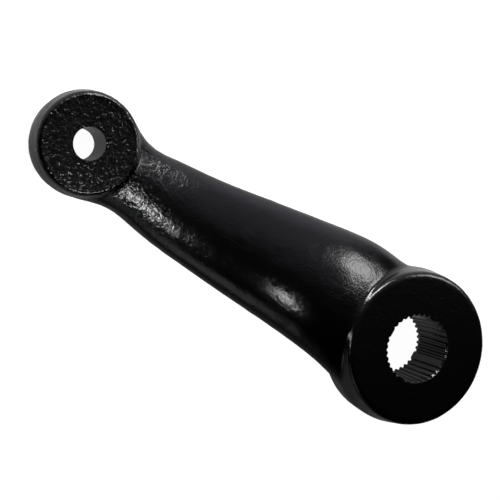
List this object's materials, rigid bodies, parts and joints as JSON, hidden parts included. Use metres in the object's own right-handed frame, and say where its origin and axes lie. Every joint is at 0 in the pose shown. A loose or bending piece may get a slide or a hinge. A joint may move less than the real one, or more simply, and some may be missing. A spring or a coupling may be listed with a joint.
{
  "type": "pitman arm",
  "caption": "Forged steering pitman arm: a round boss with a tapered serrated bore, an oval arm that steps down, and a smaller boss with a tapered stud hole.",
  "frame": {"origin": "on the axis of the serrated bore, in the plane of the nut-side face of its boss", "axes": "+Z along the serrated bore towards the gearbox side, +X towards the stud hole, +Y across the arm"},
  "size_m": [0.2344, 0.0726, 0.0378],
  "materials": {
    "black_paint": "semi-gloss black paint over forged steel"
  },
  "bodies": {
    "root": {"pitman_arm": "black_paint"}
  },
  "joints": []
}
